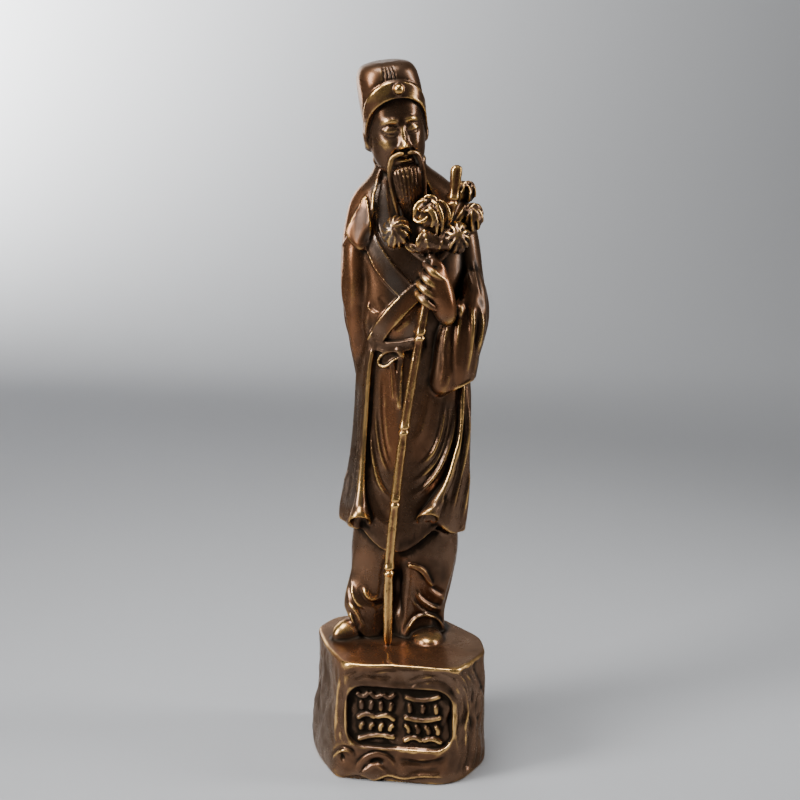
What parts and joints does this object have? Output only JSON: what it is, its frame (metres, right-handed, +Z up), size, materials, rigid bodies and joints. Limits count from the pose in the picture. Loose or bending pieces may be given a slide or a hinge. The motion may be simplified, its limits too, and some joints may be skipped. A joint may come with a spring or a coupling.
{
  "type": "physician figure",
  "caption": "Cast brass figure of a bearded old physician in a tall cap and robes, holding a bamboo staff with herb flowers, standing on a block of rock.",
  "frame": {"origin": "middle of the rock's flat underside", "axes": "+Z up, -Y out of the panel in the rock's front, +X towards the side of the hand that holds the staff"},
  "size_m": [0.06, 0.05, 0.2289],
  "materials": {
    "patinated_brass": "brown patina, dark in the hollows, rubbed bright on the raised edges"
  },
  "bodies": {
    "root": {"figure_on_rock": "patinated_brass"}
  },
  "joints": []
}
